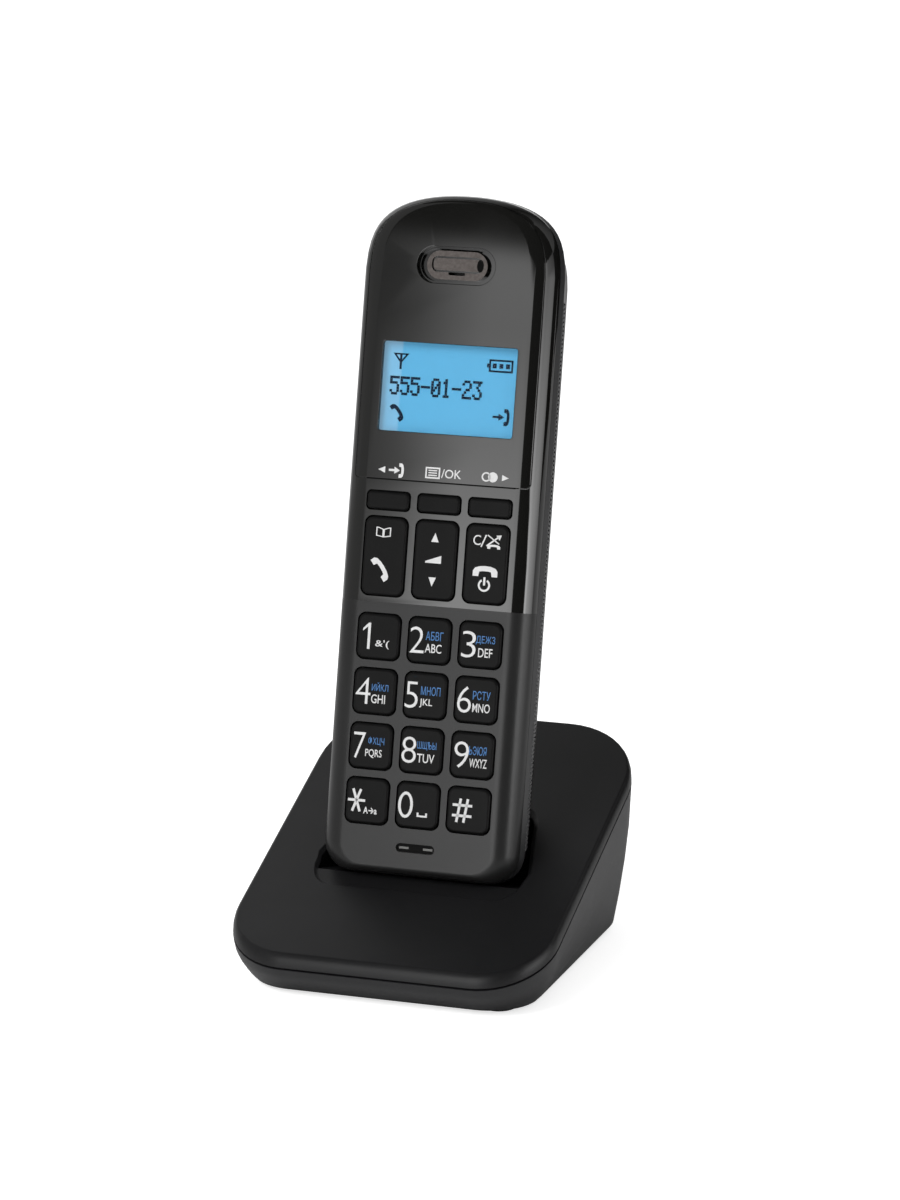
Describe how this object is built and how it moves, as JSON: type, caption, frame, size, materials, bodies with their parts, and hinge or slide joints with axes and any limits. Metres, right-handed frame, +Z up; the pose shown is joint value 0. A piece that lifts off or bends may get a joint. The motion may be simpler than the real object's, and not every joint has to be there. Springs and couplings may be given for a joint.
{
  "type": "cordless phone with base",
  "caption": "Cordless telephone handset with keypad and display, standing in a wedge-shaped desktop charging base.",
  "frame": {"origin": "centre of the base on the surface it stands on, at the bottom of the rubber feet", "axes": "+Z up, -Y towards the user (the sloping front), +X to the right as the user looks at the keys"},
  "size_m": [0.0776, 0.09, 0.175],
  "materials": {
    "base_shell": "fine satin moulding, near black",
    "base_lower": "fine satin moulding, dark grey",
    "circuit_board": "green solder mask",
    "shield_can": "tinned sheet",
    "capacitor_sleeve": "sleeved aluminium can",
    "plated_contact": "plated spring metal",
    "carrier_plastic": "natural moulding",
    "socket_plastic": "black moulding",
    "plated_pin": "nickel plated",
    "button_plastic": "satin dark grey",
    "switch_body": "plain moulding",
    "rubber_foot": "soft matt rubber",
    "screw_steel": "zinc plated",
    "front_shell": "charcoal, gloss above, satin around the digit keys",
    "display_panel": "high gloss charcoal",
    "lens": "clear window",
    "lcd": "light blue backlit liquid crystal",
    "light_guide": "white light guide",
    "earpiece_trim": "gloss dark bronze grey",
    "speaker": "dark frame",
    "key_rubber": "fine matt near-black key tops",
    "key_carrier": "grey silicone",
    "dome_steel": "bright domes",
    "rear_shell": "fine satin moulding, dark grey",
    "grip": "ribbed grey grip",
    "cell_wrap": "wrapped metal can"
  },
  "bodies": {
    "base": {"base_top_cover": "base_shell", "base_bottom_case": "base_lower", "base_pcb": "circuit_board", "base_rf_shield": "shield_can", "base_capacitors": "capacitor_sleeve", "base_antenna": "plated_contact", "contact_carrier": "carrier_plastic", "line_jack": "socket_plastic", "line_jack_contacts": "plated_contact", "power_jack": "socket_plastic", "power_jack_pin": "plated_pin", "locator_switch": "switch_body", "base_feet": "rubber_foot", "base_screws": "screw_steel"},
    "handset": {"front_case": "front_shell", "display_panel": "display_panel", "display_lens": "lens", "lcd_module": "lcd", "lcd_backlight": "light_guide", "earpiece_insert": "earpiece_trim", "earpiece_speaker": "speaker", "keypad_mat": "key_carrier", "handset_pcb": "circuit_board", "handset_rf_shield": "shield_can", "dome_sheet": "dome_steel", "microphone": "speaker", "rear_case": "rear_shell", "grip_strips": "grip", "battery_cells": "cell_wrap", "battery_springs": "plated_pin", "battery_plates": "plated_pin", "ringer_speaker": "speaker", "charge_terminals": "plated_contact", "handset_screws": "screw_steel"},
    "charge_contact_left": {"charge_contact_left": "plated_contact"},
    "charge_contact_right": {"charge_contact_right": "plated_contact"},
    "locator_button": {"locator_button": "button_plastic"},
    "battery_cover": {"battery_cover": "rear_shell"},
    "key_1": {"key_1": "key_rubber"},
    "key_2": {"key_2": "key_rubber"},
    "key_3": {"key_3": "key_rubber"},
    "key_4": {"key_4": "key_rubber"},
    "key_5": {"key_5": "key_rubber"},
    "key_6": {"key_6": "key_rubber"},
    "key_7": {"key_7": "key_rubber"},
    "key_8": {"key_8": "key_rubber"},
    "key_9": {"key_9": "key_rubber"},
    "key_star": {"key_star": "key_rubber"},
    "key_0": {"key_0": "key_rubber"},
    "key_hash": {"key_hash": "key_rubber"},
    "soft_key_left": {"soft_key_left": "key_rubber"},
    "soft_key_middle": {"soft_key_middle": "key_rubber"},
    "soft_key_right": {"soft_key_right": "key_rubber"},
    "talk_key": {"talk_key": "key_rubber"},
    "navigator_key": {"navigator_key": "key_rubber"},
    "power_key": {"power_key": "key_rubber"}
  },
  "joints": [
    {"name": "handset_lift", "type": "slide", "parent": "base", "child": "handset", "axis": [0, 0.219, 0.9757], "range_m": [0, 0.06]},
    {"name": "battery_cover_slide", "type": "slide", "parent": "handset", "child": "battery_cover", "axis": [0, -0.219, -0.9757], "range_m": [0, 0.0065]},
    {"name": "locator_press", "type": "slide", "parent": "base", "child": "locator_button", "axis": [0, -1, 0], "range_m": [0, 0.0008], "stiffness_N_per_m": 400},
    {"name": "charge_contact_left_press", "type": "slide", "parent": "base", "child": "charge_contact_left", "axis": [0, -0.219, -0.9757], "range_m": [0, 0.0012], "stiffness_N_per_m": 250},
    {"name": "charge_contact_right_press", "type": "slide", "parent": "base", "child": "charge_contact_right", "axis": [0, -0.219, -0.9757], "range_m": [0, 0.0012], "stiffness_N_per_m": 250},
    {"name": "key_1_press", "type": "slide", "parent": "handset", "child": "key_1", "axis": [0, 0.9757, -0.219], "range_m": [0, 0.0007], "stiffness_N_per_m": 400},
    {"name": "key_2_press", "type": "slide", "parent": "handset", "child": "key_2", "axis": [0, 0.9757, -0.219], "range_m": [0, 0.0007], "stiffness_N_per_m": 400},
    {"name": "key_3_press", "type": "slide", "parent": "handset", "child": "key_3", "axis": [0, 0.9757, -0.219], "range_m": [0, 0.0007], "stiffness_N_per_m": 400},
    {"name": "key_4_press", "type": "slide", "parent": "handset", "child": "key_4", "axis": [0, 0.9757, -0.219], "range_m": [0, 0.0007], "stiffness_N_per_m": 400},
    {"name": "key_5_press", "type": "slide", "parent": "handset", "child": "key_5", "axis": [0, 0.9757, -0.219], "range_m": [0, 0.0007], "stiffness_N_per_m": 400},
    {"name": "key_6_press", "type": "slide", "parent": "handset", "child": "key_6", "axis": [0, 0.9757, -0.219], "range_m": [0, 0.0007], "stiffness_N_per_m": 400},
    {"name": "key_7_press", "type": "slide", "parent": "handset", "child": "key_7", "axis": [0, 0.9757, -0.219], "range_m": [0, 0.0007], "stiffness_N_per_m": 400},
    {"name": "key_8_press", "type": "slide", "parent": "handset", "child": "key_8", "axis": [0, 0.9757, -0.219], "range_m": [0, 0.0007], "stiffness_N_per_m": 400},
    {"name": "key_9_press", "type": "slide", "parent": "handset", "child": "key_9", "axis": [0, 0.9757, -0.219], "range_m": [0, 0.0007], "stiffness_N_per_m": 400},
    {"name": "key_star_press", "type": "slide", "parent": "handset", "child": "key_star", "axis": [0, 0.9757, -0.219], "range_m": [0, 0.0007], "stiffness_N_per_m": 400},
    {"name": "key_0_press", "type": "slide", "parent": "handset", "child": "key_0", "axis": [0, 0.9757, -0.219], "range_m": [0, 0.0007], "stiffness_N_per_m": 400},
    {"name": "key_hash_press", "type": "slide", "parent": "handset", "child": "key_hash", "axis": [0, 0.9757, -0.219], "range_m": [0, 0.0007], "stiffness_N_per_m": 400},
    {"name": "soft_key_left_press", "type": "slide", "parent": "handset", "child": "soft_key_left", "axis": [0, 0.9757, -0.219], "range_m": [0, 0.0007], "stiffness_N_per_m": 400},
    {"name": "soft_key_middle_press", "type": "slide", "parent": "handset", "child": "soft_key_middle", "axis": [0, 0.9757, -0.219], "range_m": [0, 0.0007], "stiffness_N_per_m": 400},
    {"name": "soft_key_right_press", "type": "slide", "parent": "handset", "child": "soft_key_right", "axis": [0, 0.9757, -0.219], "range_m": [0, 0.0007], "stiffness_N_per_m": 400},
    {"name": "talk_key_rock", "type": "hinge", "parent": "handset", "child": "talk_key", "pos_m": [-0.0123, 0.00105, 0.09368], "axis": [1, 0, 0], "range_deg": [-2.5, 2.5], "stiffness_Nm_per_rad": 0.03},
    {"name": "navigator_key_rock", "type": "hinge", "parent": "handset", "child": "navigator_key", "pos_m": [0, 0.00105, 0.09368], "axis": [1, 0, 0], "range_deg": [-2.5, 2.5], "stiffness_Nm_per_rad": 0.03},
    {"name": "power_key_rock", "type": "hinge", "parent": "handset", "child": "power_key", "pos_m": [0.0123, 0.00105, 0.09368], "axis": [1, 0, 0], "range_deg": [-2.5, 2.5], "stiffness_Nm_per_rad": 0.03}
  ]
}
